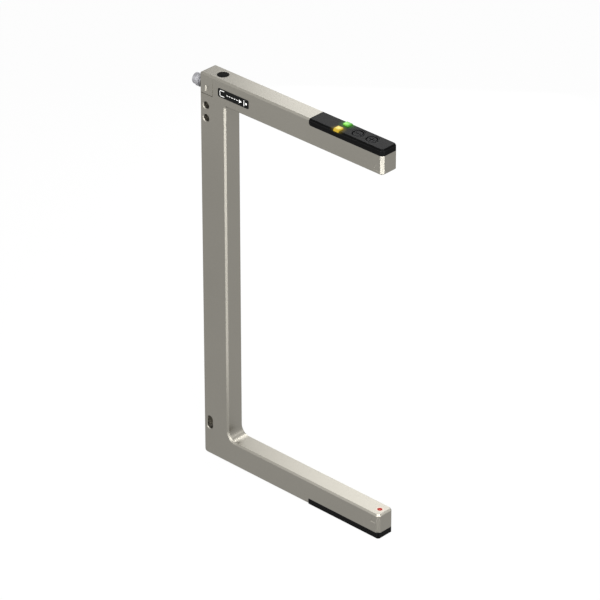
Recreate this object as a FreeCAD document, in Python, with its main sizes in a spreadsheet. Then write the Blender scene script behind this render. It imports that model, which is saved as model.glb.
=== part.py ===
import FreeCAD, Part
import Sketcher
import math
import os
from types import SimpleNamespace

# Fork sensor with a 220 x 120 mm slot. The row's origin is midway between the two round fixing
# holes, in the middle of the casting's thickness: +X runs from the spine to the arm tips, +Y to
# the rear face and +Z up the spine. Pieces are laid out from the spine's back and the casting's
# bottom, and one shift moves them all to that origin.

# Driving dimensions in millimetres and degrees.
sizes = {
    # casting
    "slot_width": 220.0,
    "slot_depth": 120.0,
    "arm_height": 16.0,
    "spine_width": 20.0,
    "body_thickness": 12.0,
    "edge_chamfer": 1.0,
    "rear_chamfer": 0.4,
    "tip_corner": 1.7,
    "rear_tip_corner": 1.0,
    "heel_radius": 2.5,
    "crown_radius": 2.0,
    "lower_inner_radius": 6.0,
    "upper_inner_radius": 1.5,
    # fixing holes in the spine
    "hole_setback": 5.0,
    "hole_drop": 20.0,
    "hole_pitch": 8.0,
    "hole_radius": 2.15,
    "hole_chamfer": 0.45,
    "slot_rise": 22.0,
    "slot_length": 8.5,
    # wiring bores
    "bore_setback": 13.0,
    "bore_radius": 3.0,
    "channel_radius": 2.8,
    "channel_gap": 2.2,
    # plug over the spine's bore
    "plug_radius": 3.6,
    "plug_thickness": 2.5,
    "plug_fit": 0.05,
    "plug_spigot": 3.0,
    "plug_chamfer": 0.25,
    # covers and their seats
    "cover_reach": 55.1,
    "cover_height": 4.0,
    "cover_corner": 1.5,
    "lower_cover_corner": 0.4,
    "lower_tip_corner": 1.2,
    "cover_fit": 0.1,
    "cover_top": 1.8,
    "cover_rim": 1.0,
    "spigot_depth": 2.5,
    "gasket_width": 0.8,
    "gasket_depth": 1.0,
    "gasket_fit": 0.05,
    # electronics pockets in the arms
    "pocket_inset": 2.4,
    "pocket_wall": 1.6,
    "tip_wall": 1.8,
    "pocket_corner": 1.2,
    "floor_wall": 2.0,
    "board_standoff": 3.0,
    "board_thickness": 0.8,
    "board_fit": 0.5,
    "board_setback": 1.0,
    "rest_setback": 2.0,
    "rest_width": 2.0,
    # optics at the arm tips
    "optic_setback": 4.5,
    "lens_radius": 1.5,
    "lens_fit": 0.05,
    "lens_recess": 0.05,
    "flange_radius": 1.9,
    "flange_thickness": 0.8,
    "light_hole_radius": 1.1,
    "holder_length": 5.2,
    "holder_width": 6.0,
    "chip_side": 2.0,
    "chip_height": 1.0,
    "chip_fit": 0.15,
    # adjusters
    "mode_setback": 23.85,
    "sensitivity_setback": 13.5,
    "well_radius": 3.5,
    "well_depth": 1.3,
    "well_wall": 0.8,
    "well_floor": 2.0,
    "tube_radius": 2.8,
    "tube_gap": 0.6,
    "head_radius": 2.9,
    "head_thickness": 1.1,
    "head_chamfer": 0.25,
    "head_lift": 0.1,
    "stem_radius": 1.55,
    "stem_fit": 0.05,
    "groove_radius": 1.1,
    "groove_width": 0.7,
    "groove_drop": 1.2,
    "seal_fit": 0.01,
    "seal_gap": 0.03,
    "tip_shaft_radius": 1.0,
    "driver_slot_width": 0.8,
    "driver_slot_length": 4.4,
    "driver_slot_depth": 0.7,
    "adjuster_side": 5.4,
    "adjuster_height": 2.6,
    "socket_depth": 1.2,
    "socket_gap": 0.2,
    "crescent_radius": 4.5,
    "crescent_width": 0.75,
    "crescent_depth": 0.25,
    "crescent_tail": 0.02,
    "crescent_turn": 50.0,
    # indicators
    "indicator_setback": 34.8,
    "indicator_length": 3.6,
    "indicator_inner": 1.9,
    "indicator_rise": 0.8,
    "indicator_chamfer": 0.8,
    "indicator_fit": 0.05,
    "window_depth": 0.8,
    "light_leg_length": 2.0,
    "light_leg_width": 1.2,
    "light_leg_gap": 0.3,
    "lamp_length": 1.6,
    "lamp_width": 0.8,
    "lamp_height": 0.6,
    "lamp_offset": 2.5,
    # other parts on the boards
    "terminal_length": 4.0,
    "terminal_width": 5.2,
    "terminal_height": 3.6,
    "signal_chip_side": 4.0,
    "driver_chip_side": 3.0,
    "package_height": 0.9,
    "signal_chip_offset": 6.0,
    "output_driver_offset": 3.3,
    "driver_chip_offset": 14.0,
    # connector on the spine's back
    "connector_drop": 9.3,
    "sleeve_radius": 4.0,
    "sleeve_length": 8.5,
    "nose_radius": 3.5,
    "nose_length": 2.2,
    "nose_chamfer": 0.3,
    "sleeve_step": 0.6,
    "ring_width": 2.0,
    "neck_radius": 3.25,
    "ring_fit": 0.05,
    "ring_inset": 0.2,
    "seat_radius": 3.5,
    "seat_length": 7.0,
    "seat_fit": 0.03,
    "socket_radius": 2.9,
    "socket_mouth": 5.3,
    "insert_fit": 0.05,
    "insert_length": 8.7,
    "pin_radius": 0.5,
    "pin_fit": 0.03,
    "pin_circle": 1.5,
    "pin_reach": 4.4,
    # marks in the casting
    "stake_width": 3.5,
    "stake_height": 4.2,
    "stake_depth": 0.5,
    "stake_setback": 6.35,
    "stake_drop": 9.0,
    "mark_slope": 45.0,
    "shoulder_start": 1.2,
    "shoulder_end": 10.4,
    "shoulder_low": 12.45,
    "shoulder_high": 1.5,
    "shoulder_rise": 0.2,
    "groove_height": 0.5,
    "groove_depth": 0.5,
    "mark_width": 4.7,
    "mark_height": 3.6,
    "mark_depth": 0.25,
    "mark_rise": 2.0,
    "mark_drop": 6.0,
    # cables inside the casting
    "cable_radius": 1.0,
    "cable_sides": 8,
    "cable_offset": 1.1,
    "cable_bend": 4.0,
    "lead_run": 4.5,
    "lead_rise": 6.0,
    "lead_bend": 12.0,
}


class Measure:
    # A length that knows its number and the expression that gives it from the sheet.
    def __init__(self, value, text):
        self.value = value
        self.text = text

    def __add__(self, other):
        return Measure(self.value + number(other), f"({self.text} + {wording(other)})")

    def __radd__(self, other):
        return Measure(number(other) + self.value, f"({wording(other)} + {self.text})")

    def __sub__(self, other):
        return Measure(self.value - number(other), f"({self.text} - {wording(other)})")

    def __rsub__(self, other):
        return Measure(number(other) - self.value, f"({wording(other)} - {self.text})")

    def __mul__(self, other):
        return Measure(self.value * number(other), f"({self.text} * {wording(other)})")

    def __truediv__(self, other):
        return Measure(self.value / number(other), f"({self.text} / {wording(other)})")

    def __neg__(self):
        return Measure(-self.value, f"(-1 * {self.text})")


def number(item):
    return item.value if isinstance(item, Measure) else float(item)


def wording(item):
    return item.text if isinstance(item, Measure) else f"{item:.9g}"


def polar(radius, angle):
    # The two parts of a length that is laid off at an angle in degrees.
    turn = math.radians(number(angle))
    return (Measure(radius.value * math.cos(turn), f"({radius.text} * cos({wording(angle)}))"),
            Measure(radius.value * math.sin(turn), f"({radius.text} * sin({wording(angle)}))"))


doc = FreeCAD.newDocument("fork_sensor")
sheet = doc.addObject("Spreadsheet::Sheet", "sizes")
for row, (name, value) in enumerate(sizes.items(), 1):
    sheet.set(f"A{row}", name)
    sheet.set(f"B{row}", str(value))
    sheet.setAlias(f"B{row}", name)
doc.recompute()

s = SimpleNamespace(**{name: Measure(value, f"sizes.{name}") for name, value in sizes.items()})
pieces = []

# Places worked out from the driving dimensions.
depth = s.spine_width + s.slot_depth
height = s.slot_width + s.arm_height * 2
half = s.body_thickness / 2
shift_x = -s.hole_setback
shift_z = s.hole_drop + s.hole_pitch / 2 - height
floor_level = s.arm_height - s.floor_wall
board_level = floor_level - s.board_standoff - s.board_thickness
channel_level = board_level - s.channel_gap
adjuster_level = board_level - s.adjuster_height
stem_end = adjuster_level - s.tube_gap
cover_start = depth - s.cover_reach
pocket_start = cover_start + s.pocket_inset
pocket_end = depth - s.tip_wall
pocket_half = half - s.pocket_wall
optic_x = depth - s.optic_setback
connector_z = height - s.connector_drop
arms = ("upper", "lower")
root_radius = {"upper": s.cover_corner, "lower": s.lower_cover_corner}


def level(arm, inward):
    # Height of a plane that lies the given distance inside an arm's outer face.
    return height - inward if arm == "upper" else inward


def band(arm, outer, inner):
    # Low and high ends of a stretch between two distances from an arm's outer face.
    near, far = level(arm, outer), level(arm, inner)
    return (far, near) if arm == "upper" else (near, far)


def either_side(measure):
    return (-measure, measure)


def about(middle, length):
    return (middle - length / 2, middle + length / 2)


# Document helpers.
def bind(item, prop, measure):
    item.setExpression(prop, wording(measure))


def bind_place(item, x, y, z):
    for axis, measure in zip("xyz", (x, y, z)):
        bind(item, f"Placement.Base.{axis}", measure)


def place(item, x=0, y=0, z=0):
    bind_place(item, shift_x + x, y, shift_z + z)


def place_on_arm(item, arm, x, inward, y=0):
    # The piece's own +Z points out of the arm.
    if arm == "lower":
        item.Placement.Rotation = FreeCAD.Rotation(FreeCAD.Vector(1, 0, 0), 180)
    place(item, x, y, level(arm, inward))


def keep(item, label):
    item.Label = label
    pieces.append(item)
    return item


def new_body(label):
    return keep(doc.addObject("PartDesign::Body", label), label)


def new_sketch(body, name, role, offset=None):
    sketch = body.newObject("Sketcher::SketchObject", name)
    plane = next(item for item in body.Origin.OriginFeatures if item.Role == role)
    sketch.AttachmentSupport = [(plane, "")]
    sketch.MapMode = "FlatFace"
    if offset is not None:
        bind(sketch, "AttachmentOffset.Base.z", offset)
    return sketch


def fix_point(sketch, curve, end, x, y):
    for kind, measure, axis in (("DistanceX", x, -2), ("DistanceY", y, -1)):
        if isinstance(measure, Measure):
            index = sketch.addConstraint(Sketcher.Constraint(kind, -1, 1, curve, end, measure.value))
            bind(sketch, f"Constraints[{index}]", measure)
        else:
            sketch.addConstraint(Sketcher.Constraint("PointOnObject", curve, end, axis))


def fix_radius(sketch, curve, radius):
    index = sketch.addConstraint(Sketcher.Constraint("Radius", curve, radius.value))
    bind(sketch, f"Constraints[{index}]", radius)


def point(x, y):
    return FreeCAD.Vector(number(x), number(y), 0)


def add_polygon(sketch, corners):
    first = sketch.GeometryCount
    count = len(corners)
    for index in range(count):
        start = point(*corners[index])
        end = point(*corners[(index + 1) % count])
        sketch.addGeometry(Part.LineSegment(start, end), False)
    for index in range(count):
        following = first + (index + 1) % count
        sketch.addConstraint(Sketcher.Constraint("Coincident", first + index, 2, following, 1))
    for index, (x, y) in enumerate(corners):
        fix_point(sketch, first + index, 1, x, y)


def add_rectangle(sketch, across, upward):
    (left, right), (low, high) = across, upward
    add_polygon(sketch, [(left, low), (right, low), (right, high), (left, high)])


def add_circle(sketch, x, y, radius):
    circle = Part.Circle(point(x, y), FreeCAD.Vector(0, 0, 1), radius.value)
    curve = sketch.addGeometry(circle, False)
    fix_point(sketch, curve, 3, x, y)
    fix_radius(sketch, curve, radius)


def add_upright_slot(sketch, x, low, high, radius):
    # An upright slot between two arc centres.
    up = FreeCAD.Vector(0, 0, 1)
    top_circle = Part.Circle(point(x, high), up, radius.value)
    low_circle = Part.Circle(point(x, low), up, radius.value)
    top = sketch.addGeometry(Part.ArcOfCircle(top_circle, 0, math.pi), False)
    bottom = sketch.addGeometry(Part.ArcOfCircle(low_circle, math.pi, 2 * math.pi), False)
    left = sketch.addGeometry(Part.LineSegment(point(x - radius, high), point(x - radius, low)), False)
    right = sketch.addGeometry(Part.LineSegment(point(x + radius, low), point(x + radius, high)), False)
    for joint in ((top, 2, left, 1), (left, 2, bottom, 1), (bottom, 2, right, 1), (right, 2, top, 1)):
        sketch.addConstraint(Sketcher.Constraint("Tangent", *joint))
    sketch.addConstraint(Sketcher.Constraint("Equal", top, bottom))
    fix_point(sketch, top, 3, x, high)
    fix_point(sketch, bottom, 3, x, low)
    fix_radius(sketch, top, radius)


def pad(body, sketch, length, both_sides=False):
    feature = body.newObject("PartDesign::Pad", f"{sketch.Name}_pad")
    feature.Profile = sketch
    bind(feature, "Length", length)
    if both_sides:
        feature.SideType = "Symmetric"
    return feature


def pocket(body, sketch, cut_depth=None, slope=None):
    feature = body.newObject("PartDesign::Pocket", f"{sketch.Name}_pocket")
    feature.Profile = sketch
    if cut_depth is None:
        feature.Type = "ThroughAll"
        feature.SideType = "Symmetric"
    else:
        bind(feature, "Length", cut_depth)
    if slope is not None:
        bind(feature, "TaperAngle", -slope)
    return feature


def revolve(body, sketch, axis):
    feature = body.newObject("PartDesign::Revolution", f"{sketch.Name}_turn")
    feature.Profile = sketch
    feature.ReferenceAxis = (sketch, [axis])
    feature.Angle = 360
    return feature


def block(body, kind, name, x, y, z):
    # A box that is added to or cut from a body, given by its low and high ends on each axis.
    feature = body.newObject(f"PartDesign::{kind}Box", name)
    for prop, (low, high) in zip(("Length", "Width", "Height"), (x, y, z)):
        bind(feature, prop, high - low)
    bind_place(feature, x[0], y[0], z[0])
    return feature


def rod(body, kind, name, radius, length, start, direction="z"):
    # A cylinder that is added to or cut from a body, from its start along +Z or +X.
    feature = body.newObject(f"PartDesign::{kind}Cylinder", name)
    bind(feature, "Radius", radius)
    bind(feature, "Height", length)
    if direction == "x":
        feature.Placement.Rotation = FreeCAD.Rotation(FreeCAD.Vector(0, 1, 0), 90)
    bind_place(feature, *start)
    return feature


def same(first, second):
    return abs(number(first) - number(second)) < 1e-4


def straight_edges(feature, direction, **where):
    # Names of the straight edges along an axis whose ends match the given coordinates.
    names = []
    for index, edge in enumerate(feature.Shape.Edges, 1):
        if edge.Curve.TypeId != "Part::GeomLine" or len(edge.Vertexes) != 2:
            continue
        start, end = (vertex.Point for vertex in edge.Vertexes)
        others = [axis for axis in "xyz" if axis != direction]
        if not all(same(getattr(start, axis), getattr(end, axis)) for axis in others):
            continue
        if all(any(same(getattr(start, axis), stop) for stop in stops) for axis, stops in where.items()):
            names.append(f"Edge{index}")
    return names


def edges_inside(feature, test):
    return [f"Edge{index}" for index, edge in enumerate(feature.Shape.Edges, 1) if test(edge)]


def dress(body, kind, name, edges, size):
    base = body.Tip
    feature = body.newObject(f"PartDesign::{kind}", name)
    feature.Base = (base, edges)
    bind(feature, "Radius" if kind == "Fillet" else "Size", size)
    doc.recompute()
    return feature


# The casting.
def is_front_edge(edge):
    # Edges of the front face, without the upright ones beside the tips' corners, and the level
    # edges that carry on round the tips.
    box = edge.BoundBox
    upright = same(box.XMin, box.XMax) and same(box.XMax, depth - s.tip_corner)
    flat = same(box.YMin, -half) and same(box.YMax, -half)
    at_tip = same(box.ZMin, box.ZMax) and box.XMin > number(depth - s.tip_corner) - 1e-4
    return (flat and not upright) or at_tip


def is_rear_edge(edge):
    # Edges of the rear face, without the upright ones beside the tips' corners.
    box = edge.BoundBox
    upright = same(box.XMin, box.XMax) and same(box.XMax, depth - s.rear_tip_corner)
    flat = same(box.YMin, half) and same(box.YMax, half)
    return flat and not upright


def cut_tip_corners(body, name, end):
    # Flat upright corners at an arm's tip, the front one wider than the rear one.
    for side, y, size in (("front", -half, s.tip_corner), ("rear", half, s.rear_tip_corner)):
        edges = straight_edges(body.Tip, "z", x=[end], y=[y])
        dress(body, "Chamfer", f"{name}_{side}_corner", edges, size)


def make_outline(body):
    sketch = new_sketch(body, "fork_outline", "XZ_Plane")
    add_polygon(sketch, [
        (0, 0), (depth, 0), (depth, s.arm_height), (s.spine_width, s.arm_height),
        (s.spine_width, height - s.arm_height), (depth, height - s.arm_height),
        (depth, height), (0, height)])
    pad(body, sketch, s.body_thickness, both_sides=True)
    doc.recompute()
    corners = (
        ("heel", 0, 0, s.heel_radius),
        ("crown", 0, height, s.crown_radius),
        ("lower_inner", s.spine_width, s.arm_height, s.lower_inner_radius),
        ("upper_inner", s.spine_width, height - s.arm_height, s.upper_inner_radius))
    for name, x, z, radius in corners:
        dress(body, "Fillet", f"{name}_corner", straight_edges(body.Tip, "y", x=[x], z=[z]), radius)
    cut_tip_corners(body, "tip", depth)
    dress(body, "Chamfer", "front_edges", edges_inside(body.Tip, is_front_edge), s.edge_chamfer)
    dress(body, "Chamfer", "rear_edges", edges_inside(body.Tip, is_rear_edge), s.rear_chamfer)


def cut_cover_seats(body):
    for arm in arms:
        sketch = new_sketch(body, f"{arm}_seat", "XZ_Plane")
        add_rectangle(sketch, (cover_start, depth), band(arm, 0, s.cover_height))
        pocket(body, sketch)
    doc.recompute()
    for arm, radius in root_radius.items():
        edges = straight_edges(body.Tip, "y", x=[cover_start], z=[level(arm, s.cover_height)])
        dress(body, "Fillet", f"{arm}_seat_corner", edges, radius)


def cut_pockets(body):
    outer = (pocket_start - s.gasket_width, pocket_end + s.gasket_width)
    inner = (pocket_start, pocket_end)
    outer_half = pocket_half + s.gasket_width
    for arm in arms:
        gasket_level = s.cover_height + s.gasket_depth
        block(body, "Subtractive", f"{arm}_gasket_ledge", outer, either_side(outer_half),
              band(arm, 0, gasket_level))
        block(body, "Subtractive", f"{arm}_board_pocket", inner, either_side(pocket_half),
              band(arm, 0, floor_level))
    doc.recompute()
    dress(body, "Fillet", "ledge_corners",
          straight_edges(body.Tip, "z", x=outer, y=either_side(outer_half)),
          s.pocket_corner + s.gasket_width)
    dress(body, "Fillet", "pocket_corners",
          straight_edges(body.Tip, "z", x=inner, y=either_side(pocket_half)), s.pocket_corner)
    rest = pocket_start + s.rest_setback
    for arm in arms:
        block(body, "Additive", f"{arm}_board_rest", (rest, rest + s.rest_width),
              either_side(pocket_half), band(arm, board_level + s.board_thickness, floor_level))
        rod(body, "Subtractive", f"{arm}_lens_hole", s.lens_radius + s.lens_fit, s.arm_height,
            (optic_x, 0, band(arm, 0, s.arm_height)[0]))


def cut_wiring_bores(body):
    for arm in arms:
        rod(body, "Subtractive", f"{arm}_channel", s.channel_radius, pocket_start - s.bore_setback,
            (s.bore_setback, 0, level(arm, channel_level)), "x")
    bottom = level("lower", channel_level) - s.bore_radius
    rod(body, "Subtractive", "spine_bore", s.bore_radius, height - bottom, (s.bore_setback, 0, bottom))
    rod(body, "Subtractive", "plug_seat", s.plug_radius, s.plug_thickness,
        (s.bore_setback, 0, height - s.plug_thickness))
    rod(body, "Subtractive", "connector_seat", s.seat_radius, s.seat_length, (0, 0, connector_z), "x")
    rod(body, "Subtractive", "connector_passage", s.channel_radius, s.bore_setback,
        (0, 0, connector_z), "x")


def cut_fixing_holes(body):
    holes = new_sketch(body, "fixing_holes", "XZ_Plane")
    for drop in (s.hole_drop, s.hole_drop + s.hole_pitch):
        add_circle(holes, s.hole_setback, height - drop, s.hole_radius)
    pocket(body, holes)
    slot = new_sketch(body, "slotted_hole", "XZ_Plane")
    reach = s.slot_length / 2 - s.hole_radius
    add_upright_slot(slot, s.hole_setback, s.slot_rise - reach, s.slot_rise + reach, s.hole_radius)
    pocket(body, slot)
    doc.recompute()

    def is_hole_edge(edge):
        box = edge.BoundBox
        across = max(abs(box.XMin - number(s.hole_setback)), abs(box.XMax - number(s.hole_setback)))
        flat = same(box.YMin, box.YMax) and same(abs(box.YMin), half)
        return flat and across < number(s.hole_radius) + 1e-3

    dress(body, "Chamfer", "hole_mouths", edges_inside(body.Tip, is_hole_edge), s.hole_chamfer)


def add_front_details(body):
    # A shallow wedge beside the connector with a groove below it, the staking recess in it and
    # the beam marks. The recess and the marks have sloping walls.
    shoulder = new_sketch(body, "shoulder", "YZ_Plane", s.shoulder_start)
    low = height - s.shoulder_low
    add_polygon(shoulder, [(-half, low), (-half, height - s.shoulder_high), (-half - s.shoulder_rise, low)])
    pad(body, shoulder, s.shoulder_end - s.shoulder_start)
    block(body, "Subtractive", "shoulder_groove", (s.shoulder_start, s.shoulder_end),
          (-half, -half + s.groove_depth), (low - s.groove_height, low))
    recess = new_sketch(body, "staking_recess", "XZ_Plane", half + s.shoulder_rise)
    add_rectangle(recess, about(s.stake_setback, s.stake_width),
                  about(height - s.stake_drop, s.stake_height))
    pocket(body, recess, s.shoulder_rise + s.stake_depth, s.mark_slope)
    for arm, low in (("upper", height - s.arm_height + s.mark_rise),
                     ("lower", s.arm_height - s.mark_drop)):
        mark = new_sketch(body, f"{arm}_beam_mark", "XZ_Plane", half)
        add_polygon(mark, [(optic_x - s.mark_width / 2, low), (optic_x + s.mark_width / 2, low),
                           (optic_x, low + s.mark_height)])
        pocket(body, mark, s.mark_depth, s.mark_slope)


def make_housing():
    body = new_body("housing")
    make_outline(body)
    cut_cover_seats(body)
    cut_pockets(body)
    cut_wiring_bores(body)
    cut_fixing_holes(body)
    add_front_details(body)
    place(body)


# Covers. Each is laid out from its own start and its seat, with +Z out of the arm.
cover_x = cover_start + s.cover_fit
cover_length = depth - cover_x
cover_pocket = (pocket_start - cover_x + s.cover_fit, pocket_end - cover_x - s.cover_fit)
spigot_half = pocket_half - s.cover_fit
ceiling = s.cover_height - s.cover_top
well_bottom = s.cover_height - s.well_depth


def along_cover(setback):
    return depth - setback - cover_x


def make_cover(arm):
    body = new_body(f"{arm}_cover")
    plan = new_sketch(body, f"{arm}_cover_plan", "XY_Plane")
    add_rectangle(plan, (0, cover_length), either_side(half))
    pad(body, plan, s.cover_height)
    doc.recompute()
    front, corner = (-half, s.tip_corner) if arm == "upper" else (half, s.lower_tip_corner)
    for side, y, size in (("front", front, corner), ("rear", -front, s.rear_tip_corner)):
        edges = straight_edges(body.Tip, "z", x=[cover_length], y=[y])
        dress(body, "Chamfer", f"{arm}_cover_{side}_corner", edges, size)
    dress(body, "Fillet", f"{arm}_cover_root", straight_edges(body.Tip, "y", x=[0], z=[0]),
          root_radius[arm])

    def is_rim_edge(edge):
        box = edge.BoundBox
        return same(box.ZMin, s.cover_height) and same(box.ZMax, s.cover_height) and box.XMax > 1e-3

    def is_rear_rim(edge):
        return is_rim_edge(edge) and same(edge.BoundBox.YMin, half) and same(edge.BoundBox.YMax, half)

    def is_front_rim(edge):
        return is_rim_edge(edge) and not is_rear_rim(edge)

    if arm == "upper":
        dress(body, "Chamfer", "upper_cover_rim", edges_inside(body.Tip, is_front_rim), s.edge_chamfer)
        dress(body, "Chamfer", "upper_rear_rim", edges_inside(body.Tip, is_rear_rim), s.rear_chamfer)
    else:
        dress(body, "Chamfer", "lower_cover_rim", edges_inside(body.Tip, is_rim_edge), s.rear_chamfer)
    block(body, "Additive", f"{arm}_spigot", cover_pocket, either_side(spigot_half),
          (-s.spigot_depth, ceiling))
    doc.recompute()
    dress(body, "Fillet", f"{arm}_spigot_corners",
          straight_edges(body.Tip, "z", x=cover_pocket, y=either_side(spigot_half)), s.pocket_corner)
    cavity = (cover_pocket[0] + s.cover_rim, cover_pocket[1] - s.cover_rim)
    block(body, "Subtractive", f"{arm}_cavity", cavity, either_side(spigot_half - s.cover_rim),
          (-s.spigot_depth, ceiling))
    place_on_arm(body, arm, cover_x, s.cover_height)
    return body


def cut_wells(body):
    # Wells with a crescent round each, and a tube below that carries the spindle.
    drop = stem_end - s.cover_height
    for name, setback in (("mode", s.mode_setback), ("sensitivity", s.sensitivity_setback)):
        x = along_cover(setback)
        base = well_bottom - s.well_floor
        reach = s.well_radius + s.well_wall
        block(body, "Additive", f"{name}_boss", (x - reach, x + reach), either_side(spigot_half),
              (base, ceiling))
        rod(body, "Additive", f"{name}_tube", s.tube_radius, drop + base, (x, 0, -drop))
        rod(body, "Subtractive", f"{name}_well", s.well_radius, s.well_depth, (x, 0, well_bottom))
        rod(body, "Subtractive", f"{name}_bearing", s.stem_radius + s.stem_fit,
            drop + well_bottom, (x, 0, -drop))
        crescent = new_sketch(body, f"{name}_crescent", "XY_Plane", s.cover_height)
        inner = s.crescent_radius - s.crescent_width / 2
        lean_x, lean_y = polar(s.crescent_width / 2 - s.crescent_tail, s.crescent_turn)
        add_circle(crescent, x, 0, s.crescent_radius)
        add_circle(crescent, x - lean_x, -lean_y, inner)
        pocket(body, crescent, s.crescent_depth)


def cut_windows(body):
    x = along_cover(s.indicator_setback)
    window = s.indicator_length / 2 + s.indicator_fit
    leg = s.light_leg_length / 2 + s.indicator_fit
    leg_half = s.light_leg_width / 2 + s.indicator_fit
    for name, side in (("output", -1), ("power", 1)):
        near = s.indicator_inner - s.indicator_fit
        reach = (near, half) if side > 0 else (-half, -near)
        middle = s.lamp_offset * side
        block(body, "Subtractive", f"{name}_window", (x - window, x + window), reach,
              (s.cover_height - s.window_depth, s.cover_height))
        block(body, "Subtractive", f"{name}_leg_hole", (x - leg, x + leg),
              (middle - leg_half, middle + leg_half), (ceiling, s.cover_height))


def make_gasket(arm):
    body = new_body(f"{arm}_cover_gasket")
    outer = (-s.gasket_width + s.gasket_fit, pocket_end - pocket_start + s.gasket_width - s.gasket_fit)
    outer_half = pocket_half + s.gasket_width - s.gasket_fit
    inner = (0, pocket_end - pocket_start)
    tall = (-s.gasket_depth, -s.gasket_fit)
    block(body, "Additive", f"{arm}_gasket_frame", outer, either_side(outer_half), tall)
    doc.recompute()
    dress(body, "Fillet", f"{arm}_gasket_outer",
          straight_edges(body.Tip, "z", x=outer, y=either_side(outer_half)),
          s.pocket_corner + s.gasket_width - s.gasket_fit)
    block(body, "Subtractive", f"{arm}_gasket_window", inner, either_side(pocket_half), tall)
    doc.recompute()
    dress(body, "Fillet", f"{arm}_gasket_inner",
          straight_edges(body.Tip, "z", x=inner, y=either_side(pocket_half)), s.pocket_corner)
    place_on_arm(body, arm, pocket_start, s.cover_height)


# Indicators: a head in the cover's window and a leg down to its lamp.
def make_indicator(name, side):
    body = new_body(f"{name}_indicator")
    reach = (s.indicator_inner, half) if side > 0 else (-half, -s.indicator_inner)
    middle = s.lamp_offset * side
    head = s.indicator_length / 2
    top = s.cover_height + s.indicator_rise
    leg_end = s.cover_height - (board_level - s.lamp_height - s.light_leg_gap)
    block(body, "Additive", f"{name}_head", either_side(head), reach,
          (s.cover_height - s.window_depth, top))
    doc.recompute()
    dress(body, "Chamfer", f"{name}_slope",
          straight_edges(body.Tip, "x", y=either_side(half), z=[top]), s.indicator_chamfer)
    block(body, "Additive", f"{name}_leg", either_side(s.light_leg_length / 2),
          (middle - s.light_leg_width / 2, middle + s.light_leg_width / 2),
          (leg_end, s.cover_height - s.window_depth))
    place_on_arm(body, "upper", depth - s.indicator_setback, s.cover_height)


# Adjusters: a turned spindle with a driver recess, its sealing ring and the part that it sets.
shaft_end = adjuster_level + s.socket_depth - s.socket_gap


def make_spindle(name, setback, crossed):
    body = new_body(f"{name}_spindle")
    profile = new_sketch(body, f"{name}_profile", "XZ_Plane")
    head_top = s.head_lift + s.head_thickness
    groove_top = -s.groove_drop
    groove_low = groove_top - s.groove_width
    stem_low = s.well_depth - stem_end
    tip_low = s.well_depth - shaft_end
    add_polygon(profile, [
        (0, tip_low), (s.tip_shaft_radius, tip_low), (s.tip_shaft_radius, stem_low),
        (s.stem_radius, stem_low), (s.stem_radius, groove_low), (s.groove_radius, groove_low),
        (s.groove_radius, groove_top), (s.stem_radius, groove_top), (s.stem_radius, s.head_lift),
        (s.head_radius, s.head_lift), (s.head_radius, head_top - s.head_chamfer),
        (s.head_radius - s.head_chamfer, head_top), (0, head_top)])
    revolve(body, profile, "V_Axis")
    wide = either_side(s.driver_slot_width / 2)
    long = either_side(s.driver_slot_length / 2)
    deep = (head_top - s.driver_slot_depth, head_top)
    block(body, "Subtractive", f"{name}_driver_slot", long, wide, deep)
    if crossed:
        block(body, "Subtractive", f"{name}_cross_slot", wide, long, deep)
    place_on_arm(body, "upper", depth - setback, s.well_depth)
    seal = new_body(f"{name}_seal")
    section = new_sketch(seal, f"{name}_seal_section", "XZ_Plane")
    add_rectangle(section, (s.groove_radius + s.seal_fit, s.stem_radius + s.stem_fit - s.seal_gap),
                  (groove_low + s.seal_fit, groove_top - s.seal_fit))
    revolve(seal, section, "V_Axis")
    place_on_arm(seal, "upper", depth - setback, s.well_depth)


def make_adjuster(label, setback):
    body = new_body(label)
    reach = s.adjuster_side / 2
    block(body, "Additive", f"{label}_case", either_side(reach), either_side(reach),
          (0, s.adjuster_height))
    rod(body, "Subtractive", f"{label}_socket", s.tip_shaft_radius + s.stem_fit, s.socket_depth,
        (0, 0, s.adjuster_height - s.socket_depth))
    place_on_arm(body, "upper", depth - setback, board_level)


# Boards and what stands on them.
def make_box(label, x, y, z):
    box = keep(doc.addObject("Part::Box", label), label)
    for prop, (low, high) in zip(("Length", "Width", "Height"), (x, y, z)):
        bind(box, prop, high - low)
    place(box, x[0], y[0], z[0])


def make_boards():
    for arm, name in (("upper", "receiver"), ("lower", "emitter")):
        make_box(f"{name}_board", (pocket_start + s.board_setback, pocket_end - s.board_fit),
                 either_side(pocket_half - s.board_fit),
                 band(arm, board_level, board_level + s.board_thickness))
        start = pocket_start + s.rest_setback + s.rest_width
        make_box(f"{name}_terminal", (start, start + s.terminal_length),
                 about(0, s.terminal_width), band(arm, board_level - s.terminal_height, board_level))
    beside_lamps = depth - s.indicator_setback + s.output_driver_offset
    for label, arm, x, side in (
            ("signal_chip", "upper", start + s.signal_chip_offset, s.signal_chip_side),
            ("output_driver", "upper", beside_lamps, s.driver_chip_side),
            ("driver_chip", "lower", start + s.driver_chip_offset, s.driver_chip_side)):
        make_box(label, (x, x + side), about(0, side),
                 band(arm, board_level - s.package_height, board_level))
    for name, side in (("output", -1), ("power", 1)):
        make_box(f"{name}_led", about(depth - s.indicator_setback, s.lamp_length),
                 about(s.lamp_offset * side, s.lamp_width),
                 band("upper", board_level - s.lamp_height, board_level))


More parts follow.
